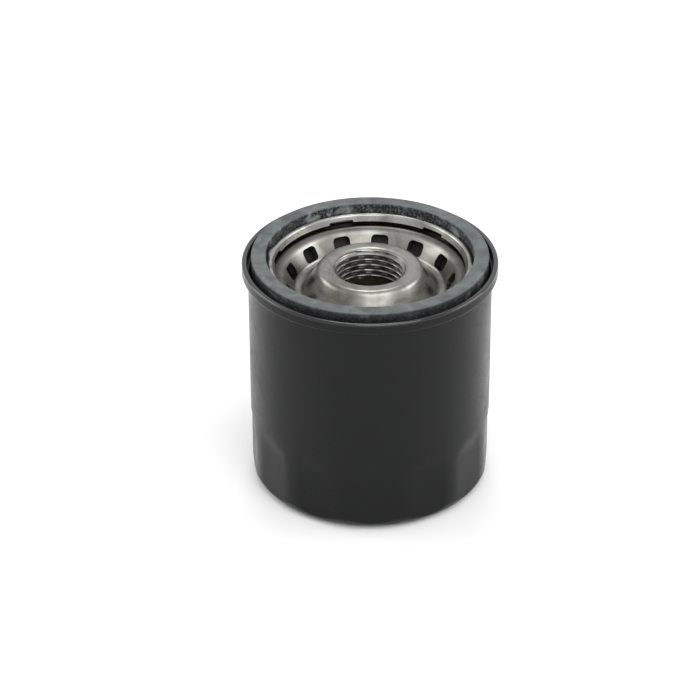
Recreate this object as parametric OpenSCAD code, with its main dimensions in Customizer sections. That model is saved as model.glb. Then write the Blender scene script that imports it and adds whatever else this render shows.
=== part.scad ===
// Spin-on oil filter for a small engine.
// It stands on its closed end, with the thread and the gasket at the top (+Z).
// The origin is at the middle of the resting face. Millimetres.

/* [Canister] */
// Height from the resting face to the sealing face of the gasket
overall_h = 66.2; // [60:0.2:100]
// Outer radius of the can's plain wall
can_r = 32; // [30:0.5:42]
// Thickness of the can's drawn sheet
can_wall = 0.45; // [0.35:0.05:0.6]
// Outer radius of the corner between the wall and the closed end
corner_r = 4.4; // [3:0.2:6]
// Radius of the raised centre of the closed end
dish_r = 17; // [12:0.5:18]
// How far the closed end's centre is raised above the foot ring
dish_rise = 1.2; // [0.6:0.1:2]

/* [Wrench flats] */
// Number of wrench flats around the closed end
flat_count = 13; // [10:1:16]
// Depth of a flat at its middle, below the round wall
flat_depth = 0.58; // [0.3:0.02:0.8]
// Height at which the flats have run out into the round wall
flat_h = 20.5; // [12:0.5:26]
// Height of the sloping run-out at the top of each flat
flat_runout = 3; // [2:0.5:5]
// Turn of the first flat about the axis, from -Y
flat_turn = 1; // [-14:0.5:14]

/* [Rolled seam] */
// How far the seam stands out from the can's wall
seam_reach = 1.6; // [1.4:0.1:2]
// Height of the rolled seam
seam_h = 2.8; // [2.6:0.1:3.4]
// How far the gasket stands above the seam
gasket_proud = 1.7; // [1:0.1:2.5]

/* [Lid and gasket] */
// Thickness of the lid's sheet
lid_t = 0.5; // [0.4:0.05:0.7]
// Radial width of the gasket's square section
gasket_w = 3.9; // [3:0.1:5]
// Height of the gasket
gasket_h = 4.7; // [4:0.1:5.5]
// Height of the lid's inner lip above the groove floor
lip_h = 2.3; // [1.8:0.1:2.8]
// Radial width of the lid's rolled inner lip
lip_w = 2.05; // [1.8:0.05:2.4]
// Number of notches in the hanging edge of the lip
notch_count = 6; // [3:1:8]
// Width of each notch, in degrees
notch_angle = 15; // [8:1:20]
// Turn of the first notch about the axis, from +Y towards +X
notch_turn = -18; // [-30:1:30]

/* [Base plate] */
// Thickness of the base plate
plate_t = 1.8; // [1.4:0.1:2.4]
// Depth of the inlet channel below the plate's rim
channel_depth = 5.7; // [5:0.1:6]
// Width of the channel's floor, between the feet of its two walls
channel_w = 2; // [1.9:0.1:2.6]
// Steepness of the channel's outer wall, in degrees
slope_angle = 58; // [54:1:62]
// Radius of the hub's foot
hub_r = 17.7; // [17.3:0.1:18]
// Height of the hub's crown above the plate's rim
hub_rise = 1.3; // [0.8:0.1:1.6]
// Steepness of the hub's wall, in degrees
hub_angle = 58.4; // [56:0.2:60]
// Radius of the thread's bore, at the tips of the thread
bore_r = 8.7; // [8.66:0.02:8.84]
// Length of the threaded collar, from the hub's crown
collar_len = 6.6; // [6:0.1:8]
// Number of inlet windows
window_count = 13; // [6:1:14]
// Width of each inlet window, round the plate
window_w = 4.7; // [3:0.1:5]
// Height of each inlet window, up the channel's outer wall
window_h = 4; // [3:0.1:4.2]
// Turn of the first inlet window about the axis, from +Y towards +X
window_turn = 7; // [-15:1:15]

/* [Anti-drainback valve] */
// Wall of the valve's rubber neck
neck_wall = 1.3; // [1:0.1:1.8]
// Thickness of the valve's lip at its edge
lip_edge = 0.8; // [0.6:0.1:1.2]

/* [Element] */
// Clearance between the can's wall and the element's end caps
element_gap = 4.05; // [3:0.1:6]
// Thickness of the end caps
cap_t = 0.4; // [0.3:0.05:0.6]
// Height of the end caps' rims
cap_rim = 3.6; // [2.5:0.1:5]
// Thickness of the adhesive that holds the media in each end cap
glue_t = 1.6; // [1.2:0.1:2.4]
// How deep the media sits in the adhesive
glue_grip = 1.1; // [0.8:0.1:1.2]
// How far the centre tube's wall stands outside the hub's collar
tube_step = 0.7; // [0.6:0.1:1.5]
// Thickness of the centre tube's sheet
tube_wall = 0.5; // [0.4:0.05:0.6]
// Radius of each hole in the centre tube
tube_hole_r = 1.5; // [1:0.1:1.8]
// Number of holes in each row round the centre tube
tube_columns = 10; // [6:1:12]
// Number of pleats
pleat_count = 40; // [30:1:42]
// Thickness of the filter paper
paper_t = 0.55; // [0.4:0.05:0.65]
// Thickness of the seam clip's strip
clip_t = 0.3; // [0.25:0.05:0.4]
// Radial length of the seam clip
clip_len = 6; // [4:0.5:8]

/* [Bypass valve] */
// Radius of the bypass opening in the lower end cap
bypass_r = 6; // [5:0.1:6.4]
// Height of the turned-up seat above the lower end cap
seat_h = 1.2; // [1:0.1:1.6]
// Thickness of the rubber seal washer
seal_t = 1.2; // [0.8:0.1:1.6]
// How far the disc and its seal lap over the seat
disc_lap = 1.7; // [1.2:0.1:1.8]
// Thickness of the valve disc
disc_t = 0.6; // [0.5:0.1:1]
// Radius of the valve stem
stem_r = 2; // [1.5:0.1:2.5]
// Thickness of the cage's sheet
cage_t = 0.5; // [0.4:0.05:0.6]
// Clear height inside the cage, above the closed disc
cage_room = 7.3; // [6.5:0.1:9]
// Wire diameter of the bypass spring
bypass_wire = 0.8; // [0.6:0.05:1]
// Mean radius of the bypass spring
bypass_coil_r = 5.2; // [4.5:0.1:6]

/* [Element spring] */
// Clear height under the element, for the spring
spring_room = 11.3; // [9:0.1:14]
// Wire diameter of the element spring
spring_wire = 1.6; // [1.2:0.1:2]

/* [Hidden] */

// Clearances
touch = 0.05;        // between pieces that bear on each other
slip = 0.08;         // of the stem in its guide, all round
gasket_gap = 0.2;    // between the gasket's inner wall and the lid's lip
neck_gap = 0.15;     // between the valve's neck and the hub's collar
plate_gap = 0.45;    // between the base plate's edge and the can
leg_gap = 0.3;       // above the lid's upturned leg
hook_gap = 0.4;      // between the can's hook and the lid's flange
smear = 0.02;        // above and below a ring of sealing compound
tube_gap = 0.3;      // between the paper and the centre tube
rim_gap = 0.5;       // between the paper and the end caps' rims
cage_gap = 0.6;      // between the bypass disc and its cage
coil_gap = 0.02;     // above and below a coil spring

// Small shapes
tight = 0.1;         // inside radius of a sharp press bend
bevel = 0.3;         // small bevels and the rubber's blunt corners
flange_rise = 0.7;   // step from the groove's floor up to the lid's flange
gasket_inset = 0.9;  // from the can's outer face in to the gasket
neck_drop = 0.5;     // from the collar's end down to the upper cap's neck
foot_step = 1.6;     // from the raised centre's edge out to the element's spring
neck_grip = 2.4;     // how much of the collar the valve's neck holds
valve_room = 3;      // height between the channel's under face and the upper cap
cut = 1;             // how far a cutter runs past the face that it cuts
arc_steps = 5;       // straight steps in one rounded bend

// Levels, from the top down
seam_top = overall_h - gasket_proud;
groove_z = overall_h - gasket_h;                 // top of the groove's floor
rim_top = groove_z - lid_t;                      // top of the base plate's rim
flange_top = groove_z + flange_rise;             // top of the lid's flange inside the seam
hook_end = flange_top + hook_gap;                // lower edge of the can's rolled hook
leg_top = seam_top - can_wall - leg_gap;         // upper edge of the lid's upturned leg
crown_z = rim_top + hub_rise;
channel_z = rim_top - channel_depth;             // top face of the inlet channel's floor
collar_end = crown_z - collar_len;
neck_top = collar_end + neck_grip;
cap_top = channel_z - plate_t - valve_room;      // top face of the upper end cap
media_top = cap_top - cap_t - glue_t + glue_grip;

// Levels, from the bottom up
floor_z = can_wall;
cap_bottom = floor_z + spring_room;              // under face of the lower end cap
cap_floor = cap_bottom + cap_t;
media_bottom = cap_floor + glue_t - glue_grip;
seat_z = cap_floor + seat_h;
disc_z = seat_z + seal_t;
disc_top = disc_z + disc_t;
cage_under = disc_top + cage_room;

// Radii, from the wall inwards
can_in = can_r - can_wall;
seam_r = can_r + seam_reach;
hook_r = can_r + touch;                          // inner face of the can's rolled hook
leg_out = seam_r - can_wall - touch;             // outer face of the lid's upturned leg
gasket_or = can_r - gasket_inset;
gasket_ir = gasket_or - gasket_w;
lip_out = gasket_ir - gasket_gap;                // face of the lip beside the gasket
lip_in = lip_out - lip_w;
plate_r = can_in - plate_gap;
slope_foot = hub_r + channel_w;                  // foot of the channel's outer wall
slope_top = slope_foot + channel_depth / tan(slope_angle);
crown_r = hub_r - (channel_depth + hub_rise) / tan(hub_angle);
collar_r = bore_r + plate_t;
neck_in = collar_r + neck_gap;
cap_r = can_in - element_gap;
tube_r = collar_r + tube_step;
tube_in = tube_r - tube_wall;
disc_r = bypass_r + cap_t + disc_lap;
cage_r = disc_r + cage_gap;                      // inner radius of the cage's wall
media_in = tube_r + tube_gap;
media_out = cap_r - cap_t - rim_gap;
spring_r = dish_r + foot_step + spring_wire / 2;

function unit(v) = v / norm(v);
function left_of(v) = [-v[1], v[0]];
function xy(p) = [p[0], p[1]];

// The points of corner b between a and c, rounded to radius r
function corner(a, b, c, r) = r <= 0 ? [b] :
    let (u = unit(a - b), w = unit(c - b), half = acos(u * w) / 2,
         middle = b + unit(u + w) * r / sin(half),
         from = b + u * r / tan(half) - middle, to = b + w * r / tan(half) - middle,
         start = atan2(from[1], from[0]), swing = atan2(to[1], to[0]) - start,
         sweep = swing > 180 ? swing - 360 : swing < -180 ? swing + 360 : swing)
    [for (k = [0:arc_steps]) middle + r * [cos(start + sweep * k / arc_steps),
                                           sin(start + sweep * k / arc_steps)]];

// An open line of [x, y, radius] points with its corners rounded
function rounded(line) = [for (i = [0:len(line) - 1])
    each (i == 0 || i == len(line) - 1) ? [xy(line[i])]
        : corner(xy(line[i - 1]), xy(line[i]), xy(line[i + 1]), line[i][2])];

// A closed outline with every corner rounded to the same radius
function rounded_loop(pts, r) = [for (i = [0:len(pts) - 1])
    each corner(pts[(i + len(pts) - 1) % len(pts)], pts[i], pts[(i + 1) % len(pts)], r)];

// The directions in which a path reaches and leaves its point i
function way_in(path, i) = unit(i > 0 ? xy(path[i]) - xy(path[i - 1]) : xy(path[1]) - xy(path[0]));
function way_out(path, i) = i < len(path) - 1 ? unit(xy(path[i + 1]) - xy(path[i])) : way_in(path, i);

// Point i of a path that is moved sideways, to its left, by d
function beside(path, i, d) =
    let (n0 = left_of(way_in(path, i)), n1 = left_of(way_out(path, i)))
    xy(path[i]) + (n0 + n1) / (1 + n0 * n1) * d;

// A path of [r, z, inside bend radius] points, moved sideways by d
function moved(path, d) = [for (i = [0:len(path) - 1])
    let (p = beside(path, i, d)) [p[0], p[1], path[i][2]]];

// One face of a bent sheet whose middle follows path; hand is 1 for the left face and -1
// for the right
function face(path, t, hand) = [for (i = [0:len(path) - 1])
    let (p = beside(path, i, hand * t / 2),
         inside = hand * cross(way_in(path, i), way_out(path, i)) > 0,
         bend = i == 0 || i == len(path) - 1 ? 0 : inside ? path[i][2] : path[i][2] + t)
    [p[0], p[1], bend]];

function reversed(v) = [for (i = [len(v) - 1:-1:0]) v[i]];

// The section of a bent sheet of thickness t
function sheet(path, t) = concat(rounded(face(path, t, 1)), reversed(rounded(face(path, t, -1))));

module pressed_sheet(path, t) {
    rotate_extrude($fn = 120) polygon(sheet(path, t));
}

module ring(r_out, r_in, z0, z1) {
    translate([0, 0, z0]) difference() {
        cylinder(r = r_out, h = z1 - z0, $fn = 120);
        translate([0, 0, -cut]) cylinder(r = r_in, h = z1 - z0 + 2 * cut, $fn = 120);
    }
}

// Solid wedges that take the wrench flats off a round bar; inset moves them inwards
module flat_cutters(inset) {
    face_r = can_r - flat_depth - inset;
    for (i = [0:flat_count - 1])
        rotate([0, 0, -90 + flat_turn + i * 360 / flat_count])
            rotate([90, 0, 0]) translate([0, 0, -can_r / 2]) linear_extrude(can_r)
                polygon([[face_r, -cut], [face_r, flat_h - flat_runout],
                         [can_r - inset, flat_h], [can_r + cut, flat_h], [can_r + cut, -cut]]);
}

// A round bar with the closed end's rounded corner, shrunk by inset on every side
module closed_end_bar(inset, height) {
    r = can_r - inset;
    c = corner_r - inset;
    side_wall = [[r - c - 0.01, inset, 0], [r, inset, c], [r, height, 0]];
    rotate_extrude($fn = 120)
        polygon(concat([[0, inset]], rounded(side_wall), [[0, height]]));
}

module canister() color([0.05, 0.05, 0.055]) {
    joint_z = flat_h + 3;                        // where the plain wall starts
    seam_flare = 0.8;                            // height over which the wall opens to the seam
    foot_in = dish_r + 1.5;                      // inner edge of the flat foot ring
    mid_r = can_r - can_wall / 2;
    hook_mid = hook_r + can_wall / 2;
    outer_mid = seam_r - can_wall / 2;
    top_mid = seam_top - can_wall / 2;
    step_z = seam_top - seam_h;
    difference() {
        closed_end_bar(0, joint_z);
        flat_cutters(0);
        difference() {
            closed_end_bar(can_wall, joint_z + cut);
            flat_cutters(can_wall);
        }
        translate([0, 0, -cut]) cylinder(r = foot_in, h = can_wall + 2 * cut, $fn = 120);
    }
    pressed_sheet([[0, dish_rise + can_wall / 2], [dish_r - 1, dish_rise + can_wall / 2, 0.6],
                   [dish_r + 0.6, can_wall / 2, 0.4], [foot_in, can_wall / 2]], can_wall);
    pressed_sheet([[mid_r, joint_z], [mid_r, step_z - seam_flare, 0.3], [outer_mid, step_z, 0.25],
                   [outer_mid, top_mid, tight], [hook_mid, top_mid, tight / 2],
                   [hook_mid, hook_end]], can_wall);
}
canister();

// Two rings of sealing compound, above the lid's upturned leg and under the can's hook
module seam_sealant() color([0.35, 0.35, 0.36]) {
    leg_in = leg_out - lid_t;
    ring(leg_out - touch, leg_in + touch, leg_top + smear, seam_top - can_wall - smear);
    ring(hook_r + can_wall - touch, hook_r + touch, flange_top + smear, hook_end - smear);
}
seam_sealant();

module seaming_lid() color([0.78, 0.77, 0.75]) {
    mid_z = groove_z - lid_t / 2;
    lip_mid = groove_z + lip_h - lid_t / 2;
    flange_mid = flange_top - lid_t / 2;
    lip_bend = (lip_w - 2 * lid_t) / 2 - 0.01;   // the lip is rolled over in one round bend
    hang_z = groove_z + 0.4;                     // lower edge of the lip's hanging skirt
    difference() {
        pressed_sheet([[lip_in + lid_t / 2, hang_z], [lip_in + lid_t / 2, lip_mid, lip_bend],
                       [lip_out - lid_t / 2, lip_mid, lip_bend], [lip_out - lid_t / 2, mid_z, tight],
                       [gasket_or + 0.1, mid_z, tight], [gasket_or + 0.65, flange_mid, tight],
                       [leg_out - lid_t / 2, flange_mid, tight / 2], [leg_out - lid_t / 2, leg_top]],
                      lid_t);
        for (i = [0:notch_count - 1])
            rotate([0, 0, -notch_turn - i * 360 / notch_count]) notch_cutter(hang_z);
    }
}

// A wedge that shortens the lip's hanging edge over one notch
module notch_cutter(low) {
    notch_h = 0.7;
    far = lip_in + 1.5 * lid_t;
    side = far * tan(notch_angle / 2);
    translate([0, 0, low - cut]) linear_extrude(cut + notch_h) polygon([[0, 0], [-side, far], [side, far]]);
}
seaming_lid();

// Heavy pressed plate: a flat rim, a channel with inlet windows, and a hub with a threaded bore
module base_plate() color([0.72, 0.71, 0.69]) {
    shoulder = 1.2;                              // inside radii of its bends
    channel_bend = 1.5;
    crown_bend = 0.4;
    upper_face = [[plate_r, rim_top], [slope_top, rim_top, shoulder],
                  [slope_foot, channel_z, channel_bend], [hub_r, channel_z, channel_bend],
                  [crown_r, crown_z, crown_bend], [bore_r, crown_z, tight], [bore_r, collar_end]];
    difference() {
        pressed_sheet(moved(upper_face, plate_t / 2), plate_t);
        for (i = [0:window_count - 1])
            rotate([0, 0, -window_turn - i * 360 / window_count]) window_punch();
    }
}

// A square punch, driven through the channel's outer wall at right angles to it
module window_punch() {
    foot = 0.9;                                  // from the wall's foot up to the window
    middle = foot + window_h / 2;
    w = window_w / 2;
    h = window_h / 2;
    translate([0, slope_foot + middle * cos(slope_angle), channel_z + middle * sin(slope_angle)])
        rotate([slope_angle, 0, 0]) translate([0, 0, -plate_t - cut])
            linear_extrude(plate_t + 2 * cut)
                polygon(rounded_loop([[-w, -h], [w, -h], [w, h], [-w, h]], window_w / 4));
}
base_plate();

module mounting_gasket() color([0.13, 0.13, 0.14]) {
    edge = 0.4;
    rotate_extrude($fn = 120)
        polygon(rounded_loop([[gasket_ir, groove_z], [gasket_or, groove_z],
                              [gasket_or, overall_h], [gasket_ir, overall_h]], edge));
}
mounting_gasket();

// Rubber diaphragm: its neck grips the collar, its skirt clears the windows, and its lip
// closes them off from below, against the flat of the plate outside them
module anti_drainback_valve() color([0.1, 0.1, 0.11]) {
    neck_out = neck_in + neck_wall;
    knee = [slope_foot + 0.7, channel_z - plate_t - 0.9];
    lip = [slope_top + 2.3, rim_top - plate_t - 2 * touch];
    rotate_extrude($fn = 120)
        polygon([[neck_in + bevel, cap_top], [neck_out + 2 * bevel, cap_top], knee + [0.4, -0.9],
                 lip + lip_edge * [0.8, -0.6], lip, knee, [neck_out, cap_top + neck_wall],
                 [neck_out, neck_top], [neck_in, neck_top], [neck_in, cap_top + bevel]]);
}
anti_drainback_valve();

module element_upper_cap() color([0.74, 0.73, 0.7]) {
    mid_z = cap_top - cap_t / 2;
    pressed_sheet([[collar_r - cap_t / 2, collar_end - neck_drop], [collar_r - cap_t / 2, mid_z, tight],
                   [cap_r - cap_t / 2, mid_z, tight], [cap_r - cap_t / 2, cap_top - cap_rim]], cap_t);
}
element_upper_cap();

module centre_tube() color([0.75, 0.75, 0.74]) {
    land = 1;                                    // plain tube between the adhesive and the holes
    pitch = 2 * tube_hole_r + 1.8;               // least distance from row to row
    low = cap_floor + glue_t + land + tube_hole_r;
    high = cap_top - cap_t - glue_t - land - tube_hole_r;
    rows = 1 + floor((high - low) / pitch);
    difference() {
        ring(tube_r, tube_in, cap_floor, cap_top - cap_t);
        for (row = [0:rows - 1], i = [0:tube_columns - 1])
            rotate([0, 0, (i + (row % 2) / 2) * 360 / tube_columns])
                translate([0, tube_in - cut, low + (high - low) * row / (rows - 1)])
                    rotate([-90, 0, 0]) cylinder(r = tube_hole_r, h = tube_wall + 2 * cut, $fn = 32);
    }
}
centre_tube();

// The angle that a width covers at radius r
function wide(w, r) = w / r * 180 / PI;
// Half the angle that one pleat covers at radius r; the first pleat is pinched for its clip
function pleat_half(i, r) = i == 0 ? wide(paper_t + touch, r)
    : (180 / pleat_count + wide(paper_t, r)) / 2;
function at(r, a) = [r * sin(a), r * cos(a)];

// The line that the paper's outer face follows, or its inner face when inset is the paper's
// thickness: out along one flank of each pleat, over its fold and back down the other flank
function pleat_line(low, high, inset) = [for (i = [0:pleat_count - 1])
    let (a = i * 360 / pleat_count,
         foot = pleat_half(i, low) - wide(inset, low), tip = pleat_half(i, high) - wide(inset, high))
    each [at(low, a - foot), at(high, a - tip), at(high, a + tip), at(low, a + foot)]];

module media_outline() {
    difference() {
        polygon(pleat_line(media_in + paper_t, media_out, 0));
        polygon(pleat_line(media_in, media_out - paper_t, paper_t));
        translate([-touch, media_out - 2 * paper_t]) square([2 * touch, 3 * paper_t]);
    }
}

module pleated_media() color([0.86, 0.78, 0.6]) {
    translate([0, 0, media_bottom]) linear_extrude(media_top - media_bottom) media_outline();
}
pleated_media();

// A folded strip that pinches the two ends of the paper together
module clip_outline() {
    inside = paper_t + 2 * touch;
    difference() {
        translate([-inside - clip_t, media_out - clip_len])
            square([2 * (inside + clip_t), clip_len + touch + clip_t]);
        translate([-inside, media_out - clip_len - cut]) square([2 * inside, clip_len + cut + touch]);
    }
}

module media_seam_clip() color([0.75, 0.75, 0.74]) {
    translate([0, 0, media_bottom]) linear_extrude(media_top - media_bottom) clip_outline();
}
media_seam_clip();

// A disc of cured adhesive with pockets for the paper and its clip
module adhesive_disc(low) {
    difference() {
        ring(cap_r - cap_t - touch, tube_r + touch, low, low + glue_t);
        pleated_media();
        media_seam_clip();
    }
}

module upper_adhesive() color([0.3, 0.32, 0.36]) adhesive_disc(cap_top - cap_t - glue_t);
upper_adhesive();

module lower_adhesive() color([0.3, 0.32, 0.36]) adhesive_disc(cap_floor);
lower_adhesive();

module element_lower_cap() color([0.74, 0.73, 0.7]) {
    mid_z = cap_bottom + cap_t / 2;
    pressed_sheet([[cap_r - cap_t / 2, cap_bottom + cap_rim], [cap_r - cap_t / 2, mid_z, tight],
                   [bypass_r + cap_t / 2, mid_z, tight], [bypass_r + cap_t / 2, seat_z]], cap_t);
}
element_lower_cap();

module bypass_cage() color([0.72, 0.68, 0.55]) {
    base_mid = cap_floor + cage_t / 2;
    top_mid = cage_under + cage_t / 2;
    port_land = 1;                               // plain wall above and below each port
    flange_edge = tube_in - 0.4;
    port_low = cap_floor + cage_t + port_land;
    port_h = cage_under - port_land - port_low;
    difference() {
        pressed_sheet([[flange_edge, base_mid], [cage_r + cage_t / 2, base_mid, 0.2],
                       [cage_r + cage_t / 2, top_mid, 0.4], [stem_r + slip, top_mid]], cage_t);
        for (turn = [0, 90])
            rotate([0, 0, turn]) translate([-tube_in, -cage_r / 2, port_low])
                cube([2 * tube_in, cage_r, port_h]);
    }
}
bypass_cage();

module bypass_disc() color([0.7, 0.7, 0.7]) ring(disc_r, stem_r, disc_z, disc_top);
bypass_disc();

module bypass_seal() color([0.12, 0.12, 0.12]) ring(disc_r, stem_r, seat_z, disc_z);
bypass_seal();

// A headed pin, clinched over the disc, whose shank slides in the top of the cage
module bypass_stem() color([0.66, 0.66, 0.68]) {
    head_r = stem_r + 1.4;
    head_h = 0.8;
    clinch_r = stem_r + 0.8;
    clinch_h = 0.5;
    end_z = cage_under + cage_t + 3;
    rotate_extrude($fn = 60)
        polygon([[0, seat_z - head_h], [head_r - bevel, seat_z - head_h],
                 [head_r, seat_z - head_h + bevel], [head_r, seat_z], [stem_r, seat_z],
                 [stem_r, disc_top], [clinch_r, disc_top], [clinch_r - bevel, disc_top + clinch_h],
                 [stem_r, disc_top + clinch_h], [stem_r, end_z - bevel], [stem_r - bevel, end_z],
                 [0, end_z]]);
}
bypass_stem();

// A compression spring from level low to level high, with its end turns laid nearly flat
module coil_spring(mean_r, wire, low, high, turns) {
    sides = 8;                                   // of the wire's section
    steps = 24;                                  // in one turn
    lay = 0.5;                                   // turns laid nearly flat at each end
    lay_rise = 0.2 * wire;
    start = low + wire / 2 + coil_gap;
    climb = high - low - wire - 2 * coil_gap;
    function rise(t) = t < lay ? t / lay * lay_rise
        : t > turns - lay ? climb - (turns - t) / lay * lay_rise
        : lay_rise + (t - lay) / (turns - 2 * lay) * (climb - 2 * lay_rise);
    last = turns * steps;
    points = [for (k = [0:last], j = [0:sides - 1])
        let (a = k * 360 / steps, b = (j + 0.5) * 360 / sides, r = mean_r + wire / 2 * cos(b))
        [r * cos(a), r * sin(a), start + rise(k / steps) + wire / 2 * sin(b)]];
    walls = [for (k = [0:last - 1], j = [0:sides - 1])
        let (p = k * sides + j, q = k * sides + (j + 1) % sides)
        each [[p, q, q + sides], [p, q + sides, p + sides]]];
    polyhedron(points, concat(walls, [[for (j = [sides - 1:-1:0]) j]],
                              [[for (j = [0:sides - 1]) last * sides + j]]), convexity = 6);
}

module bypass_spring() color([0.6, 0.6, 0.62])
    coil_spring(bypass_coil_r, bypass_wire, disc_top, cage_under, 4);
bypass_spring();

module element_spring() color([0.6, 0.6, 0.62])
    coil_spring(spring_r, spring_wire, floor_z, cap_bottom, 3.5);
element_spring();
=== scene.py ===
# A small spin-on oil filter, built up in the order in which its pieces go together.
# Sizes are in millimetres unless a comment says otherwise; meshes are written in metres.
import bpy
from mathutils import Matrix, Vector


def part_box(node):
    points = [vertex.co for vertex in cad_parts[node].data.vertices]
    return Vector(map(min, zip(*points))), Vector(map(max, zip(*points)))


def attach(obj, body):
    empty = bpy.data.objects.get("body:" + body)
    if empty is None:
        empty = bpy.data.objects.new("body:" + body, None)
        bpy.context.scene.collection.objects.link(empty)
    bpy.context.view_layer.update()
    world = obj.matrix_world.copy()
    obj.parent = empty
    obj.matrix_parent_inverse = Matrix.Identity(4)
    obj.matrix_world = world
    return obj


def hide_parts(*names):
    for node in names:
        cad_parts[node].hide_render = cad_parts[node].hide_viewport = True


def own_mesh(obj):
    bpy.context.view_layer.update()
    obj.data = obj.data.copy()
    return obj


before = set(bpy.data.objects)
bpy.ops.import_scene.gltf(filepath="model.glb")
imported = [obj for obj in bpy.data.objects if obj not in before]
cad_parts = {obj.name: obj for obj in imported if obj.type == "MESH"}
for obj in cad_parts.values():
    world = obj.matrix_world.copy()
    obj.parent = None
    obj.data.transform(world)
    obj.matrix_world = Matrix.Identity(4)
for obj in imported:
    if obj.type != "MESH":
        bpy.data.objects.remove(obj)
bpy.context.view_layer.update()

import math

import bmesh
import bpy
from mathutils import Vector

scene = bpy.context.scene
scene.view_settings.view_transform = "Standard"

# ---------------------------------------------------------------------------
# Camera: a long lens about 0.8 m away, looking down on the filter by 32 degrees. The shifts
# set the filter a little off the middle of the frame.
# ---------------------------------------------------------------------------
look_down = math.radians(31.66)
aim, camera_away = Vector((0, 0, 0.0325)), 0.782
camera = bpy.data.objects.new("camera", bpy.data.cameras.new("camera"))
scene.collection.objects.link(camera)
camera.location = aim + Vector((0, -math.cos(look_down), math.sin(look_down))) * camera_away
camera.rotation_euler = (math.pi / 2 - look_down, 0, 0)
camera.data.lens = 150.6
camera.data.shift_x = -0.0286
camera.data.shift_y = 0.0189
camera.data.clip_start = 0.01
camera.data.clip_end = 20
scene.camera = camera

# ---------------------------------------------------------------------------
# Table: a plain white card that the filter stands on, in a white studio. Large soft lamps light
# the can's sides and front, and a small one above and behind brings out the pressed steel.
# ---------------------------------------------------------------------------


def linear(code):
    """An sRGB hex colour such as #c0ffee as linear red, green, blue and alpha."""
    parts = [int(code[i:i + 2], 16) / 255 for i in (1, 3, 5)]
    return [c / 12.92 if c <= 0.04045 else ((c + 0.055) / 1.055) ** 2.4 for c in parts] + [1]


def add(tree, kind, inputs=None, **settings):
    """Adds a node to a tree. Each input is a plain value, a node or a node's output socket."""
    node = tree.nodes.new(kind)
    for name, value in settings.items():
        setattr(node, name, value)
    for name, value in (inputs or {}).items():
        if isinstance(value, bpy.types.Node):
            value = value.outputs[0]
        if isinstance(value, bpy.types.NodeSocket):
            tree.links.new(value, node.inputs[name])
        else:
            node.inputs[name].default_value = value
    return node


def new_finish(name, **settings):
    """A new material with its node tree and Principled shader; settings are shader inputs."""
    material = bpy.data.materials.new(name)
    material.use_nodes = True
    shader = material.node_tree.nodes["Principled BSDF"]
    for label, value in settings.items():
        shader.inputs[label.replace("_", " ")].default_value = value
    return material, material.node_tree, shader


def mesh_object(name, points, faces, material):
    """A mesh from points in millimetres, with its faces turned outwards."""
    mesh = bpy.data.meshes.new(name)
    mesh.from_pydata([[c / 1000 for c in p] for p in points], [], faces)
    shape = bmesh.new()
    shape.from_mesh(mesh)
    bmesh.ops.recalc_face_normals(shape, faces=shape.faces)
    shape.to_mesh(mesh)
    shape.free()
    mesh.materials.append(material)
    made = bpy.data.objects.new(name, mesh)
    scene.collection.objects.link(made)
    return made


card = new_finish("matt white card", Base_Color=linear("#eaeaea"), Roughness=0.9)[0]
card_half, card_z = 3000, -0.02
card_corners = [(-card_half, -card_half, card_z), (card_half, -card_half, card_z),
                (card_half, card_half, card_z), (-card_half, card_half, card_z)]
floor = mesh_object("floor", card_corners, [(0, 1, 2, 3)], card)

world = bpy.data.worlds.new("studio")
scene.world = world
world.use_nodes = True
walls = world.node_tree.nodes["Background"]
walls.inputs["Color"].default_value = linear("#ffffff")
walls.inputs["Strength"].default_value = 0.9


def softbox(name, place, size, power):
    """A square lamp at a place in metres, turned to face the filter."""
    light = bpy.data.lights.new(name, "AREA")
    light.size = size
    light.energy = power
    lamp = bpy.data.objects.new(name, light)
    lamp.location = place
    lamp.rotation_euler = (aim - Vector(place)).to_track_quat("-Z", "Y").to_euler()
    scene.collection.objects.link(lamp)


softbox("left_softbox", (-1.1, 0.25, 0.55), size=0.8, power=5)
softbox("right_softbox", (1.2, 0.1, 0.6), size=0.8, power=6)
softbox("front_softbox", (0.25, -0.75, 0.95), size=1.0, power=8)
softbox("top_softbox", (-0.03, 0.6, 1.19), size=0.35, power=3)

# ---------------------------------------------------------------------------
# Canister: mild steel sheet, deep-drawn into a cup with wrench flats pressed round its closed
# end, then sprayed and baked black. Its rim is rolled over the lid to make the seam.
# ---------------------------------------------------------------------------
can_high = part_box("canister")[1] * 1000
sheet_t, seam_out, seam_h, hook_h = 0.45, 1.6, 2.8, 1.9
seam_r, seam_top = can_high.x, can_high.z
can_r, seam_low = seam_r - seam_out, seam_top - seam_h
corner_r, dish_r, dish_rise = 4.4, 17, 1.2
flat_count, flat_depth, flat_turn = 13, 0.58, math.radians(-89)
flat_corner_r, flat_start, flat_end = 12, 16.8, 20.8


def arc(a, b, c, radius, steps):
    """Corner b of the line a-b-c, rounded to a radius."""
    if radius < 1e-4:
        return [b]
    u, w = (a - b).normalized(), (c - b).normalized()
    half = u.angle(w) / 2
    middle = b + (u + w).normalized() * radius / math.sin(half)
    first, last = b + u * radius / math.tan(half) - middle, b + w * radius / math.tan(half) - middle
    sweep = -first.angle_signed(last)
    start = math.atan2(first.y, first.x)
    return [middle + radius * Vector((math.cos(start + sweep * k / steps),
                                      math.sin(start + sweep * k / steps)))
            for k in range(steps + 1)]


def rounded(line, closed=False, steps=8):
    """A line of (x, y, radius) points with its corners rounded."""
    spots = [Vector(p[:2]) for p in line]
    out = []
    for i, p in enumerate(line):
        if not closed and i in (0, len(line) - 1):
            out.append(spots[i])
        else:
            out += arc(spots[i - 1], spots[i], spots[(i + 1) % len(line)], p[2], steps)
    return out


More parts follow.
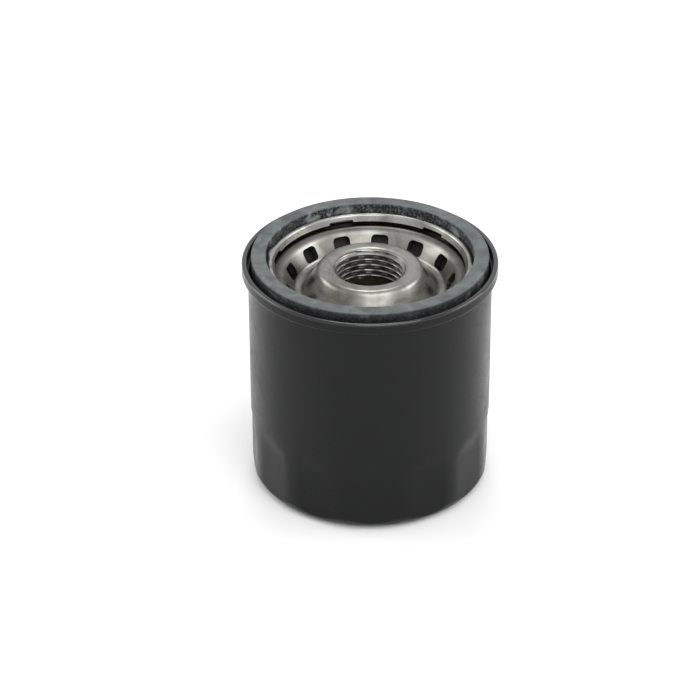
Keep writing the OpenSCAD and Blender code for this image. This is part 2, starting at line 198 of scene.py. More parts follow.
def bent_sheet(path, thickness, above=0.5):
    """The closed outline of a bent sheet. Each point of path is (x, y, inside bend radius), and
    above is the share of the sheet that lies to the left of the path."""
    faces = []
    for hand, share in ((1, above), (-1, 1 - above)):
        line = []
        for i, p in enumerate(path):
            here = Vector(p[:2])
            before = (here - Vector(path[i - 1][:2])).normalized() if i else None
            after = (Vector(path[i + 1][:2]) - here).normalized() if i < len(path) - 1 else before
            before = before or after
            n0, n1 = Vector((-before.y, before.x)) * hand, Vector((-after.y, after.x)) * hand
            shift = (n0 + n1) / (1 + n0.dot(n1)) * thickness * share
            inside = hand * (before.x * after.y - before.y * after.x) > 0
            radius = 0 if len(p) < 3 else p[2] if inside else p[2] + thickness
            line.append((here.x + shift.x, here.y + shift.y, radius))
        faces.append(rounded(line))
    return faces[0] + faces[1][::-1]


def dense(outline, spacing):
    """The closed outline with extra points; spacing gives the longest step at a point."""
    out = []
    for i, p in enumerate(outline):
        q = outline[(i + 1) % len(outline)]
        parts = max(1, math.ceil((q - p).length / spacing(p.lerp(q, 0.5))))
        out += [p.lerp(q, k / parts) for k in range(parts)]
    return [p for i, p in enumerate(out) if (p - out[i - 1]).length > 1e-4]


def lathe(name, outline, steps, material):
    """A closed outline of (r, z) points, turned about the axis."""
    points, rows = [], []
    for r, z in outline:
        turns = 1 if r < 1e-6 else steps
        rows.append([len(points) + k % turns for k in range(steps)])
        points += [(r * math.cos(math.tau * k / steps), r * math.sin(math.tau * k / steps), z)
                   for k in range(turns)]
    faces = []
    for i, row in enumerate(rows):
        above = rows[i - 1]
        for k in range(steps):
            j = (k + 1) % steps
            face = list(dict.fromkeys((row[k], row[j], above[j], above[k])))
            if len(face) > 2:
                faces.append(face)
    made = mesh_object(name, points, faces, material)
    soften(made)
    return made


def soften(piece, angle=35):
    """Shades a piece smooth, apart from edges that are sharper than angle, in degrees."""
    piece.data.polygons.foreach_set("use_smooth", [True] * len(piece.data.polygons))
    piece.data.set_sharp_from_angle(angle=math.radians(angle))


def node_group(name, inputs):
    """A new geometry tree with named number inputs; returns the tree and its input node."""
    group = bpy.data.node_groups.new(name, "GeometryNodeTree")
    group.interface.new_socket("Geometry", in_out="INPUT", socket_type="NodeSocketGeometry")
    group.interface.new_socket("Geometry", in_out="OUTPUT", socket_type="NodeSocketGeometry")
    for label, value in inputs.items():
        kind = "NodeSocketInt" if isinstance(value, int) else "NodeSocketFloat"
        group.interface.new_socket(label, in_out="INPUT", socket_type=kind)
    return group, group.nodes.new("NodeGroupInput").outputs


def grow(piece, group, inputs, geometry, material, sharp=35):
    """Ends a geometry tree in Realize Instances and Set Material, runs it on a piece with its
    inputs, and keeps the result as the piece's plain mesh. Doubled points and slivers, which a
    punch can leave along its cut, are merged."""
    real = add(group, "GeometryNodeRealizeInstances", {0: geometry})
    painted = add(group, "GeometryNodeSetMaterial", {0: real, "Material": material})
    group.links.new(painted.outputs[0], group.nodes.new("NodeGroupOutput").inputs[0])
    modifier = piece.modifiers.new(group.name, "NODES")
    modifier.node_group = group
    for item in group.interface.items_tree:
        if item.in_out == "INPUT" and item.name in inputs:
            modifier[item.identifier] = inputs[item.name]
    bpy.context.view_layer.update()
    evaluated = piece.evaluated_get(bpy.context.evaluated_depsgraph_get())
    result = bpy.data.meshes.new_from_object(evaluated)
    piece.modifiers.remove(modifier)
    shape = bmesh.new()
    shape.from_mesh(result)
    doubled, sliver = 0.002, 0.001
    bmesh.ops.remove_doubles(shape, verts=shape.verts, dist=doubled / 1000)
    bmesh.ops.dissolve_degenerate(shape, edges=shape.edges, dist=sliver / 1000)
    shape.to_mesh(result)
    shape.free()
    old = piece.data
    piece.data = result
    bpy.data.meshes.remove(old)
    result.name = piece.name
    soften(piece, sharp)


def polar(group):
    """The position in a geometry tree, as x, y, z, the radius and the angle about the axis."""
    x, y, z = add(group, "ShaderNodeSeparateXYZ", {0: add(group, "GeometryNodeInputPosition")}).outputs
    square = add(group, "ShaderNodeMath", {0: y, 1: y}, operation="MULTIPLY")
    square = add(group, "ShaderNodeMath", {0: x, 1: x, 2: square}, operation="MULTIPLY_ADD")
    radius = add(group, "ShaderNodeMath", {0: square}, operation="SQRT")
    angle = add(group, "ShaderNodeMath", {0: y, 1: x}, operation="ARCTAN2")
    return x, y, z, radius, angle


def move_radius(group, geometry, x, y, z, radius, new_radius):
    """Moves every point of a geometry straight in or out, to a new radius."""
    never_zero = 1e-7
    divisor = add(group, "ShaderNodeMath", {0: radius, 1: never_zero}, operation="MAXIMUM")
    scale = add(group, "ShaderNodeMath", {0: new_radius, 1: divisor}, operation="DIVIDE")
    new_x = add(group, "ShaderNodeMath", {0: x, 1: scale}, operation="MULTIPLY")
    new_y = add(group, "ShaderNodeMath", {0: y, 1: scale}, operation="MULTIPLY")
    place = add(group, "ShaderNodeCombineXYZ", {0: new_x, 1: new_y, 2: z})
    return add(group, "GeometryNodeSetPosition", {0: geometry, "Position": place})


# Baked enamel: black, half gloss, with a fine orange peel from the spray gun, a slightly uneven
# film and a few dull rubs, which show as soft changes in the reflection. The seaming rolls have
# burnished the seam's top edge, which catches a thin bright line.
paint, tree, shader = new_finish("black baked enamel", Base_Color=linear("#070808"), IOR=1.3)
place = add(tree, "ShaderNodeTexCoord").outputs["Object"]
peel = add(tree, "ShaderNodeTexNoise", {"Vector": place, "Scale": 1000 / 1.1, "Detail": 2})
film = add(tree, "ShaderNodeTexNoise", {"Vector": place, "Scale": 1000 / 14, "Detail": 5})
rub = add(tree, "ShaderNodeTexNoise", {"Vector": place, "Scale": 1000 / 4, "Detail": 6,
                                       "Distortion": 1.5})
dull = add(tree, "ShaderNodeMapRange", {0: rub, 1: 0.5, 2: 0.8, 3: 0.0, 4: 0.12})
rough = add(tree, "ShaderNodeMapRange", {0: film, 1: 0.3, 2: 0.7, 3: 0.24, 4: 0.34})
worn = add(tree, "ShaderNodeMath", {0: rough, 1: dull}, operation="ADD")
height = add(tree, "ShaderNodeSeparateXYZ", {0: place}).outputs["Z"]
rolled = add(tree, "ShaderNodeMapRange", {0: height, 1: can_high.z / 1000 - 0.0008,
                                          2: can_high.z / 1000 - 0.0003, 3: 0.0, 4: 1.0}).outputs[0]
kept_rough = add(tree, "ShaderNodeMath", {0: rolled, 1: -0.55, 2: 1.0}, operation="MULTIPLY_ADD")
worn = add(tree, "ShaderNodeMath", {0: worn, 1: kept_rough}, operation="MULTIPLY")
tree.links.new(worn.outputs[0], shader.inputs["Roughness"])
tree.links.new(rolled, shader.inputs["Coat Weight"])
shader.inputs["Coat Roughness"].default_value = 0.08
shade = add(tree, "ShaderNodeMix", {0: film, 6: linear("#060707"), 7: linear("#0b0c0c")},
            data_type="RGBA")
tree.links.new(shade.outputs[2], shader.inputs["Base Color"])
skin = add(tree, "ShaderNodeBump", {"Height": peel, "Strength": 0.12, "Distance": 0.00002})
tree.links.new(skin.outputs[0], shader.inputs["Normal"])

mid_r = can_r - sheet_t / 2
hook_r = can_r + 0.05 + sheet_t / 2
outer_r = seam_r - sheet_t / 2
can_path = [(0, dish_rise + sheet_t / 2), (dish_r - 1, dish_rise + sheet_t / 2, 0.6),
            (dish_r + 0.6, sheet_t / 2, 0.4), (mid_r, sheet_t / 2, corner_r - sheet_t),
            (mid_r, seam_low - 0.8, 0.3), (outer_r, seam_low, 0.25),
            (outer_r, seam_top - sheet_t / 2, 0.1), (hook_r, seam_top - sheet_t / 2, 0.05),
            (hook_r, seam_top - hook_h)]
flat_steps, pressed_step, plain_step = 26, 0.7, 2
can_outline = dense(bent_sheet(can_path, sheet_t),
                    lambda p: pressed_step if p.y < flat_end + 1 else plain_step)
can = lathe("can_drawn", can_outline, flat_count * flat_steps, paint)


def depth_in_wall(x, y, z):
    """How far a point lies behind the outer face of the can's closed end."""
    r, corner = math.hypot(x, y), can_r - corner_r
    if r > corner and z < corner_r:
        return corner_r - math.hypot(r - corner, z - corner_r)
    return min(can_r - r, z)


behind = [depth_in_wall(*(v.co * 1000)) > sheet_t / 2 for v in can.data.vertices]
inset = can.data.attributes.new("inset", "FLOAT", "POINT")
inset.data.foreach_set("value", [sheet_t / 1000 * b for b in behind])

# The flats: a polygon with rounded corners limits the radius, and runs out upwards
group, given = node_group("wrench flats", {"Count": 13, "Radius": 0.0, "Depth": 0.0, "Corner": 0.0,
                                           "Turn": 0.0, "Start": 0.0, "End": 0.0})
x, y, z, radius, angle = polar(group)
half_pitch = add(group, "ShaderNodeMath", {0: math.pi, 1: given["Count"]}, operation="DIVIDE")
turned = add(group, "ShaderNodeMath", {0: angle, 1: given["Turn"]}, operation="SUBTRACT")
minus_half = add(group, "ShaderNodeMath", {0: half_pitch, 1: -1.0}, operation="MULTIPLY")
across = add(group, "ShaderNodeMath", {0: turned, 1: minus_half, 2: half_pitch}, operation="WRAP")
across = add(group, "ShaderNodeMath", {0: across}, operation="ABSOLUTE")
apothem = add(group, "ShaderNodeMath", {0: given["Radius"], 1: given["Depth"]}, operation="SUBTRACT")
cosine = add(group, "ShaderNodeMath", {0: across}, operation="COSINE")
on_flat = add(group, "ShaderNodeMath", {0: apothem, 1: cosine}, operation="DIVIDE")
centre = add(group, "ShaderNodeMath", {0: given["Radius"], 1: given["Corner"]}, operation="SUBTRACT")
from_corner = add(group, "ShaderNodeMath", {0: half_pitch, 1: across}, operation="SUBTRACT")
sine = add(group, "ShaderNodeMath", {0: from_corner}, operation="SINE")
side = add(group, "ShaderNodeMath", {0: centre, 1: sine}, operation="MULTIPLY")
corner_square = add(group, "ShaderNodeMath", {0: given["Corner"], 1: given["Corner"]}, operation="MULTIPLY")
side_square = add(group, "ShaderNodeMath", {0: side, 1: side}, operation="MULTIPLY")
rise = add(group, "ShaderNodeMath", {0: corner_square, 1: side_square}, operation="SUBTRACT")
rise = add(group, "ShaderNodeMath", {0: rise}, operation="SQRT")
cosine = add(group, "ShaderNodeMath", {0: from_corner}, operation="COSINE")
on_corner = add(group, "ShaderNodeMath", {0: centre, 1: cosine, 2: rise}, operation="MULTIPLY_ADD")
sine = add(group, "ShaderNodeMath", {0: half_pitch}, operation="SINE")
half_width = add(group, "ShaderNodeMath", {0: centre, 1: sine}, operation="MULTIPLY")
flat_half = add(group, "ShaderNodeMath", {0: half_width, 1: apothem}, operation="ARCTAN2")
is_flat = add(group, "ShaderNodeMath", {0: across, 1: flat_half}, operation="LESS_THAN")
gain = add(group, "ShaderNodeMath", {0: on_flat, 1: on_corner}, operation="SUBTRACT")
gain = add(group, "ShaderNodeMath", {0: is_flat, 1: gain}, operation="MULTIPLY")
limit = add(group, "ShaderNodeMath", {0: on_corner, 1: gain}, operation="ADD")
run_out = add(group, "ShaderNodeMapRange", {0: z, 1: given["Start"], 2: given["End"], 3: 0.0,
                                            4: given["Depth"]}, interpolation_type="SMOOTHSTEP")
limit = add(group, "ShaderNodeMath", {0: limit, 1: run_out.outputs[0]}, operation="ADD")
wall = add(group, "GeometryNodeInputNamedAttribute", {"Name": "inset"}, data_type="FLOAT")
limit = add(group, "ShaderNodeMath", {0: limit, 1: wall}, operation="SUBTRACT")
pressed = add(group, "ShaderNodeMath", {0: radius, 1: limit}, operation="MINIMUM")
is_low = add(group, "ShaderNodeMath", {0: z, 1: given["End"]}, operation="LESS_THAN")
push = add(group, "ShaderNodeMath", {0: pressed, 1: radius}, operation="SUBTRACT")
kept = add(group, "ShaderNodeMath", {0: is_low, 1: push, 2: radius}, operation="MULTIPLY_ADD")
shaped = move_radius(group, given["Geometry"], x, y, z, radius, kept)
grow(can, group, {"Count": flat_count, "Radius": can_r / 1000, "Depth": flat_depth / 1000,
                  "Corner": flat_corner_r / 1000, "Turn": flat_turn, "Start": flat_start / 1000,
                  "End": flat_end / 1000}, shaped, paint)
can.data.attributes.remove(can.data.attributes["inset"])
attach(can, "housing")
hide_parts("canister")

# ---------------------------------------------------------------------------
# Element spring: hardened steel wire, coiled with both end turns laid nearly flat. It sits on
# the can's foot and presses the element up against the hub.
# ---------------------------------------------------------------------------

# Patented spring wire: dark drawn steel under a film of oil, with fine lengthwise streaks
spring_wire, tree, shader = new_finish("oil-dipped spring wire", Metallic=1)
place = add(tree, "ShaderNodeTexCoord").outputs["Object"]
streak = add(tree, "ShaderNodeTexNoise", {"Vector": place, "Scale": 1000 / 0.5, "Detail": 4})
patch = add(tree, "ShaderNodeTexNoise", {"Vector": place, "Scale": 1000 / 7, "Detail": 4})
shade = add(tree, "ShaderNodeMix", {0: patch, 6: linear("#6e6a66"), 7: linear("#96928c")},
            data_type="RGBA")
tree.links.new(shade.outputs[2], shader.inputs["Base Color"])
rough = add(tree, "ShaderNodeMapRange", {0: streak, 1: 0.3, 2: 0.7, 3: 0.28, 4: 0.45})
tree.links.new(rough.outputs[0], shader.inputs["Roughness"])


def coil(name, mean_r, wire, low, high, turns):
    """A compression spring between two levels. The last half turn at each end is laid down, and
    climbs by only a fifth of the wire."""
    laid_turn, laid_climb, turn_points, wire_sides = 0.5, 0.2, 40, 16
    piece = mesh_object(name, [], [], spring_wire)
    group, given = node_group(name + " winding", {"Radius": 0.0, "Wire": 0.0, "Low": 0.0,
                                                  "High": 0.0, "Turns": 0.0, "Points": 9})
    line = add(group, "GeometryNodeCurvePrimitiveLine")
    line = add(group, "GeometryNodeResampleCurve", {0: line, "Count": given["Points"]})
    along = add(group, "GeometryNodeSplineParameter").outputs["Factor"]
    turn = add(group, "ShaderNodeMath", {0: along, 1: given["Turns"]}, operation="MULTIPLY")
    angle = add(group, "ShaderNodeMath", {0: turn, 1: math.tau}, operation="MULTIPLY")
    room = add(group, "ShaderNodeMath", {0: given["High"], 1: given["Low"]}, operation="SUBTRACT")
    climb = add(group, "ShaderNodeMath", {0: room, 1: given["Wire"]}, operation="SUBTRACT")
    laid = add(group, "ShaderNodeMath", {0: given["Wire"], 1: laid_climb}, operation="MULTIPLY")
    climb = add(group, "ShaderNodeMath", {0: laid, 1: -2.0, 2: climb}, operation="MULTIPLY_ADD")
    last = add(group, "ShaderNodeMath", {0: given["Turns"], 1: laid_turn}, operation="SUBTRACT")
    foot = add(group, "ShaderNodeMapRange", {0: turn, 1: 0.0, 2: laid_turn, 3: 0.0, 4: laid})
    body = add(group, "ShaderNodeMapRange", {0: turn, 1: laid_turn, 2: last, 3: 0.0, 4: climb})
    head = add(group, "ShaderNodeMapRange", {0: turn, 1: last, 2: given["Turns"], 3: 0.0, 4: laid})
    height = add(group, "ShaderNodeMath", {0: foot, 1: body}, operation="ADD")
    height = add(group, "ShaderNodeMath", {0: height, 1: head}, operation="ADD")
    half_wire = add(group, "ShaderNodeMath", {0: given["Wire"], 1: 0.5}, operation="MULTIPLY")
    start = add(group, "ShaderNodeMath", {0: half_wire, 1: given["Low"]}, operation="ADD")
    cosine = add(group, "ShaderNodeMath", {0: angle}, operation="COSINE")
    sine = add(group, "ShaderNodeMath", {0: angle}, operation="SINE")
    x = add(group, "ShaderNodeMath", {0: cosine, 1: given["Radius"]}, operation="MULTIPLY")
    y = add(group, "ShaderNodeMath", {0: sine, 1: given["Radius"]}, operation="MULTIPLY")
    z = add(group, "ShaderNodeMath", {0: start, 1: height}, operation="ADD")
    spot = add(group, "ShaderNodeCombineXYZ", {0: x, 1: y, 2: z})
    wound = add(group, "GeometryNodeSetPosition", {0: line, "Position": spot})
    section = add(group, "GeometryNodeCurvePrimitiveCircle", {"Resolution": wire_sides,
                                                              "Radius": half_wire})
    wire_mesh = add(group, "GeometryNodeCurveToMesh", {0: wound, 1: section, "Fill Caps": True})
    grow(piece, group, {"Radius": mean_r / 1000, "Wire": wire / 1000, "Low": low / 1000,
                        "High": high / 1000, "Turns": turns, "Points": int(turns * turn_points) + 1},
         wire_mesh, spring_wire)
    return piece


spring_low, spring_high = [v * 1000 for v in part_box("element_spring")]
element_wire = 1.6
element_coil = coil("element_spring_wound", spring_high.x - element_wire / 2, element_wire,
                    spring_low.z, spring_high.z, turns=3.5)
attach(element_coil, "housing")
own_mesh(element_coil)
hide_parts("element_spring")

# ---------------------------------------------------------------------------
# Lower end cap and bypass valve: tinplate pressings. A spring in the cage holds the disc and its
# rubber seal down on the seat in the cap, and the stem guides them.
# ---------------------------------------------------------------------------


def tinned(name, colour, shadow, roughness, grain_mm):
    """Thin sheet with a tin coat: bright, faintly rolled, with dull clouds of oil on it."""
    material, tree, shader = new_finish(name, Metallic=1)
    place = add(tree, "ShaderNodeTexCoord").outputs["Object"]
    rolled = add(tree, "ShaderNodeMapping", {0: place, "Scale": (1, 12, 12)})
    grain = add(tree, "ShaderNodeTexNoise", {"Vector": rolled, "Scale": 100 / grain_mm, "Detail": 4})
    cloud = add(tree, "ShaderNodeTexNoise", {"Vector": place, "Scale": 1000 / 8, "Detail": 4})
    shade = add(tree, "ShaderNodeMix", {0: cloud, 6: linear(colour), 7: linear(shadow)},
                data_type="RGBA")
    tree.links.new(shade.outputs[2], shader.inputs["Base Color"])
    both = add(tree, "ShaderNodeMath", {0: grain, 1: cloud}, operation="ADD")
    rough = add(tree, "ShaderNodeMapRange", {0: both, 1: 0.7, 2: 1.3, 3: roughness - 0.06,
                                             4: roughness + 0.08})
    tree.links.new(rough.outputs[0], shader.inputs["Roughness"])
    skin = add(tree, "ShaderNodeBump", {"Height": grain, "Strength": 0.15, "Distance": 0.00001})
    tree.links.new(skin.outputs[0], shader.inputs["Normal"])
    return material


tinplate = tinned("rolled tinplate", "#c4c1b9", "#a3a098", roughness=0.32, grain_mm=0.6)
zinc = tinned("bright zinc-plated steel", "#c2c4c6", "#9fa1a4", roughness=0.26, grain_mm=0.3)

# Nitrile rubber: dead black, moulded against a blasted tool, so it is even and nearly matt
moulded_rubber, tree, shader = new_finish("moulded black nitrile", Base_Color=linear("#17181a"),
                                          Specular_IOR_Level=0.3)
place = add(tree, "ShaderNodeTexCoord").outputs["Object"]
blast = add(tree, "ShaderNodeTexNoise", {"Vector": place, "Scale": 1000 / 0.3, "Detail": 3})
rough = add(tree, "ShaderNodeMapRange", {0: blast, 1: 0.3, 2: 0.7, 3: 0.5, 4: 0.7})
tree.links.new(rough.outputs[0], shader.inputs["Roughness"])
skin = add(tree, "ShaderNodeBump", {"Height": blast, "Strength": 0.3, "Distance": 0.00002})
tree.links.new(skin.outputs[0], shader.inputs["Normal"])


def dress(node, material):
    """Gives a CAD node its finish."""
    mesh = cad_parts[node].data
    mesh.materials.clear()
    mesh.materials.append(material)


dress("element_lower_cap", tinplate)
dress("bypass_cage", tinplate)
dress("bypass_disc", zinc)
dress("bypass_stem", zinc)
dress("bypass_seal", moulded_rubber)

bypass_low, bypass_high = [v * 1000 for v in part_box("bypass_spring")]
bypass_wire = 0.8
bypass_coil = coil("bypass_spring_wound", bypass_high.x - bypass_wire / 2, bypass_wire,
                   bypass_low.z, bypass_high.z, turns=4.0)
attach(bypass_coil, "element")
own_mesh(bypass_coil)
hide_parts("bypass_spring")

# ---------------------------------------------------------------------------
# Adhesive: heat-cured plastisol, poured into each end cap, where it holds the ends of the paper
# and of the centre tube.
# ---------------------------------------------------------------------------

# Cured plastisol: grey and half gloss, with slow ripples left from pouring
plastisol, tree, shader = new_finish("cured plastisol", IOR=1.5)
place = add(tree, "ShaderNodeTexCoord").outputs["Object"]
flow = add(tree, "ShaderNodeTexNoise", {"Vector": place, "Scale": 1000 / 5, "Detail": 3})
shade = add(tree, "ShaderNodeMix", {0: flow, 6: linear("#4b5058"), 7: linear("#646a73")},
            data_type="RGBA")
tree.links.new(shade.outputs[2], shader.inputs["Base Color"])
rough = add(tree, "ShaderNodeMapRange", {0: flow, 1: 0.3, 2: 0.7, 3: 0.35, 4: 0.5})
tree.links.new(rough.outputs[0], shader.inputs["Roughness"])
skin = add(tree, "ShaderNodeBump", {"Height": flow, "Strength": 0.4, "Distance": 0.0001})
tree.links.new(skin.outputs[0], shader.inputs["Normal"])
dress("lower_adhesive", plastisol)
dress("upper_adhesive", plastisol)

# ---------------------------------------------------------------------------
# Media: resin-treated cellulose paper, folded into forty pleats. A tinplate strip pinches its
# two ends together in the first pleat.
# ---------------------------------------------------------------------------
media_low, media_high = [v * 1000 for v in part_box("pleated_media")]
adhesive_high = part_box("upper_adhesive")[1] * 1000
pleat_count, paper_t, fold_deep = 40, 0.55, 15.3
pleat_in = adhesive_high.x - fold_deep
pleat_out = media_high.x - paper_t / 2

# Filter paper: warm straw colour, with a soft felt of fibres and small crepe marks
paper, tree, shader = new_finish("resin-treated filter paper", Roughness=0.85,
                                 Specular_IOR_Level=0.2)
place = add(tree, "ShaderNodeTexCoord").outputs["Object"]
fibre = add(tree, "ShaderNodeTexNoise", {"Vector": place, "Scale": 1000 / 0.4, "Detail": 5})
stain = add(tree, "ShaderNodeTexNoise", {"Vector": place, "Scale": 1000 / 6, "Detail": 4})
both = add(tree, "ShaderNodeMath", {0: fibre, 1: stain}, operation="ADD")
both = add(tree, "ShaderNodeMath", {0: both, 1: 0.5}, operation="MULTIPLY")
shade = add(tree, "ShaderNodeMix", {0: both, 6: linear("#c9a869"), 7: linear("#e6d0a0")},
            data_type="RGBA")
tree.links.new(shade.outputs[2], shader.inputs["Base Color"])
skin = add(tree, "ShaderNodeBump", {"Height": fibre, "Strength": 0.5, "Distance": 0.00005})
tree.links.new(skin.outputs[0], shader.inputs["Normal"])


def pleat(name, foot_half, tip_half):
    """One pleat, from the middle of one inner fold to the next; half widths are in degrees."""
    def spot(radius, degrees, bend=0.0):
        return radius * math.sin(math.radians(degrees)), radius * math.cos(math.radians(degrees)), bend
    foot_bend = 0.05
    tip_bend = max(0.0, min(0.6, pleat_out * math.radians(tip_half) * 0.5 - 0.1))
    pitch_half = 180 / pleat_count
    outline = bent_sheet([spot(pleat_in, -pitch_half), spot(pleat_in, -foot_half, foot_bend),
                          spot(pleat_out, -tip_half, tip_bend), spot(pleat_out, tip_half, tip_bend),
                          spot(pleat_in, foot_half, foot_bend), spot(pleat_in, pitch_half)], paper_t)
    count = len(outline)
    levels = [media_low.z, media_high.z]
    points = [(p.x, p.y, z) for z in levels for p in outline]
    ends = (count // 2 - 1, count - 1)
    faces = [(i, (i + 1) % count, (i + 1) % count + count, i + count)
             for i in range(count) if i not in ends]
    for i in range(count // 2 - 1):
        cap = (i, i + 1, count - 2 - i, count - 1 - i)
        faces += [cap, tuple(k + count for k in cap)]
    return mesh_object(name, points, faces, paper)


def around(group, shape, count, turn=0.0, skip=-0.5):
    """Copies of a shape, evenly round the axis from a first turn, past the first skip copies."""
    spots = add(group, "GeometryNodeMeshLine", {"Count": count, "Offset": (0, 0, 0)})
    index = add(group, "GeometryNodeInputIndex").outputs[0]
    step = add(group, "ShaderNodeMath", {0: math.tau, 1: count}, operation="DIVIDE")
    angle = add(group, "ShaderNodeMath", {0: index, 1: step, 2: turn}, operation="MULTIPLY_ADD")
    spin = add(group, "ShaderNodeCombineXYZ", {2: angle})
    chosen = add(group, "ShaderNodeMath", {0: index, 1: skip}, operation="GREATER_THAN")
    return add(group, "GeometryNodeInstanceOnPoints", {0: spots, "Selection": chosen,
                                                       "Instance": shape, "Rotation": spin})


media = pleat("media_pleats", foot_half=2.2, tip_half=2.2)
group, given = node_group("pleat ring", {"Pleats": 40})
ring = around(group, given["Geometry"], given["Pleats"], skip=0.5)
grow(media, group, {"Pleats": pleat_count}, ring, paper)

# The pleat inside the strip is pinched narrower, and is joined to the ring along its open edges
pinched = pleat("media_first_pleat", foot_half=1.4, tip_half=0.66)
join_gap = 0.05
shape = bmesh.new()
shape.from_mesh(media.data)
shape.from_mesh(pinched.data)
ends = [v for v in shape.verts if v.is_boundary]
bmesh.ops.remove_doubles(shape, verts=ends, dist=join_gap / 1000)
bmesh.ops.recalc_face_normals(shape, faces=shape.faces)
if shape.calc_volume(signed=True) < 0:
    bmesh.ops.reverse_faces(shape, faces=shape.faces)
shape.to_mesh(media.data)
shape.free()
bpy.data.objects.remove(pinched)
soften(media)
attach(media, "element")
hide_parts("pleated_media")
dress("media_seam_clip", tinplate)

# ---------------------------------------------------------------------------
# Centre tube: tinplate strip rolled into a tube and punched with staggered rows of round holes.
# It keeps the pleats from being crushed inwards by the oil.
# ---------------------------------------------------------------------------
tube_low, tube_high = [v * 1000 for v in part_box("centre_tube")]
tube_t, glue_deep = 0.5, 1.6
hole_r, hole_columns, hole_rows, hole_clear, hole_punch = 1.5, 10, 7, 1, 2
tube_outline = [Vector((tube_high.x, tube_low.z)), Vector((tube_high.x, tube_high.z)),
                Vector((tube_high.x - tube_t, tube_high.z)), Vector((tube_high.x - tube_t, tube_low.z))]
tube = lathe("centre_tube_rolled", tube_outline, steps=120, material=tinplate)
group, given = node_group("perforations", {"Columns": 10, "Hole": 0.0, "Radius": 0.0, "Depth": 0.0})
cutter = add(group, "GeometryNodeMeshCylinder", {"Vertices": 24, "Radius": given["Hole"],
                                                 "Depth": given["Depth"]})
rows = add(group, "GeometryNodeJoinGeometry")
first_row = tube_low.z + glue_deep + hole_clear + hole_r
last_row = tube_high.z - glue_deep - hole_clear - hole_r
for row in range(hole_rows):
    level = first_row + (last_row - first_row) * row / (hole_rows - 1)
    spot = add(group, "ShaderNodeCombineXYZ", {1: given["Radius"], 2: level / 1000})
    lying = add(group, "GeometryNodeTransform", {0: cutter, "Translation": spot,
                                                 "Rotation": (math.pi / 2, 0, 0)})
    ring = around(group, lying, given["Columns"], math.pi / hole_columns * (row % 2))
    group.links.new(ring.outputs[0], rows.inputs[0])
cutters = add(group, "GeometryNodeRealizeInstances", {0: rows})
pierced = add(group, "GeometryNodeMeshBoolean", {0: given["Geometry"], 1: cutters},
              operation="DIFFERENCE", solver="EXACT")
grow(tube, group, {"Columns": hole_columns, "Hole": hole_r / 1000,
                   "Radius": (tube_high.x - tube_t / 2) / 1000, "Depth": hole_punch / 1000},
     pierced, tinplate)
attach(tube, "element")
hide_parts("centre_tube")

# ---------------------------------------------------------------------------
# Upper end cap: a tinplate pressing like the lower one, with a short neck that centres the
# element under the hub's collar.
# ---------------------------------------------------------------------------
dress("element_upper_cap", tinplate)

# ---------------------------------------------------------------------------
# Anti-drainback valve: a moulded nitrile diaphragm. Its neck grips the hub's collar, and its
# lip rests under the base plate outside the windows, so oil can pass inwards only.
# ---------------------------------------------------------------------------
valve_low, valve_high = [v * 1000 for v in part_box("anti_drainback_valve")]
plate_low, plate_high = [v * 1000 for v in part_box("base_plate")]
plate_t, hub_r, rim_drop = 1.8, 17.7, 1.3
channel_w, channel_deep, slope_angle = 2.0, 5.7, math.radians(58)
rim_top = plate_high.z - rim_drop
channel_z = rim_top - channel_deep
slope_foot = hub_r + channel_w
slope_top = slope_foot + (rim_top - channel_z) / math.tan(slope_angle)
neck_in, neck_out = 10.65, 11.95
lip_r, lip_z = slope_top + 2.3, rim_top - plate_t - 0.1
knee_r, knee_z = slope_foot + 0.7, channel_z - plate_t - 0.9
foot_z = valve_low.z

# Its section, from the foot of the neck out under the skirt to the lip, and back over the top
valve_line = [(neck_in + 0.3, foot_z, 0.1), (neck_out + 0.6, foot_z, 0.8),
              (knee_r + 0.4, knee_z - 0.9, 2.5), (lip_r + 0.64, lip_z - 0.48, 0.15), (lip_r, lip_z, 0.1),
              (knee_r, knee_z, 1.8), (neck_out, foot_z + 1.3, 0.6), (neck_out, valve_high.z, 0.3),
              (neck_in, valve_high.z, 0.3), (neck_in, foot_z + 0.3, 0.1)]
valve = lathe("drainback_valve_moulded", rounded(valve_line, closed=True), steps=144,
              material=moulded_rubber)
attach(valve, "element")
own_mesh(valve)
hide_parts("anti_drainback_valve")

# ---------------------------------------------------------------------------
# Base plate: thick cold-rolled steel, pressed with a deep channel round a raised hub. The
# channel's outer wall is punched with inlet windows, and the hub is tapped for the engine's stud.
# ---------------------------------------------------------------------------
bore_r, thread_depth, thread_pitch, thread_root = 8.7, 0.825, 25.4 / 16, 0.1
crown_z, hub_angle = plate_high.z, math.radians(58.4)
crown_r = hub_r - (crown_z - channel_z) / math.tan(hub_angle)
window_count, window_w, window_h, window_turn = 13, 4.7, 4.0, math.radians(-7)
window_foot, window_corner, punch_travel = 0.9, window_w / 4, 5.5


def reach_and_level(tree, place):
    """How far a place in a finish is from the filter's axis, and its height."""
    x, y, level = add(tree, "ShaderNodeSeparateXYZ", {0: place}).outputs
    flat = add(tree, "ShaderNodeCombineXYZ", {0: x, 1: y})
    return add(tree, "ShaderNodeVectorMath", {0: flat}, operation="LENGTH").outputs["Value"], level


def by_radius(tree, start, end):
    """A mask that rises from 0 to 1 between two distances from the filter's axis."""
    place = add(tree, "ShaderNodeTexCoord").outputs["Object"]
    reach = reach_and_level(tree, place)[0]
    return add(tree, "ShaderNodeMapRange", {0: reach, 1: start / 1000, 2: end / 1000}).outputs[0]


def tint_over(tree, shader, mask, colour):
    """Lays a colour over a finish where a mask is 1."""
    under = shader.inputs["Base Color"].links[0].from_socket
    shade = add(tree, "ShaderNodeMix", {0: mask, 6: under, 7: linear(colour)}, data_type="RGBA")
    tree.links.new(shade.outputs[2], shader.inputs["Base Color"])


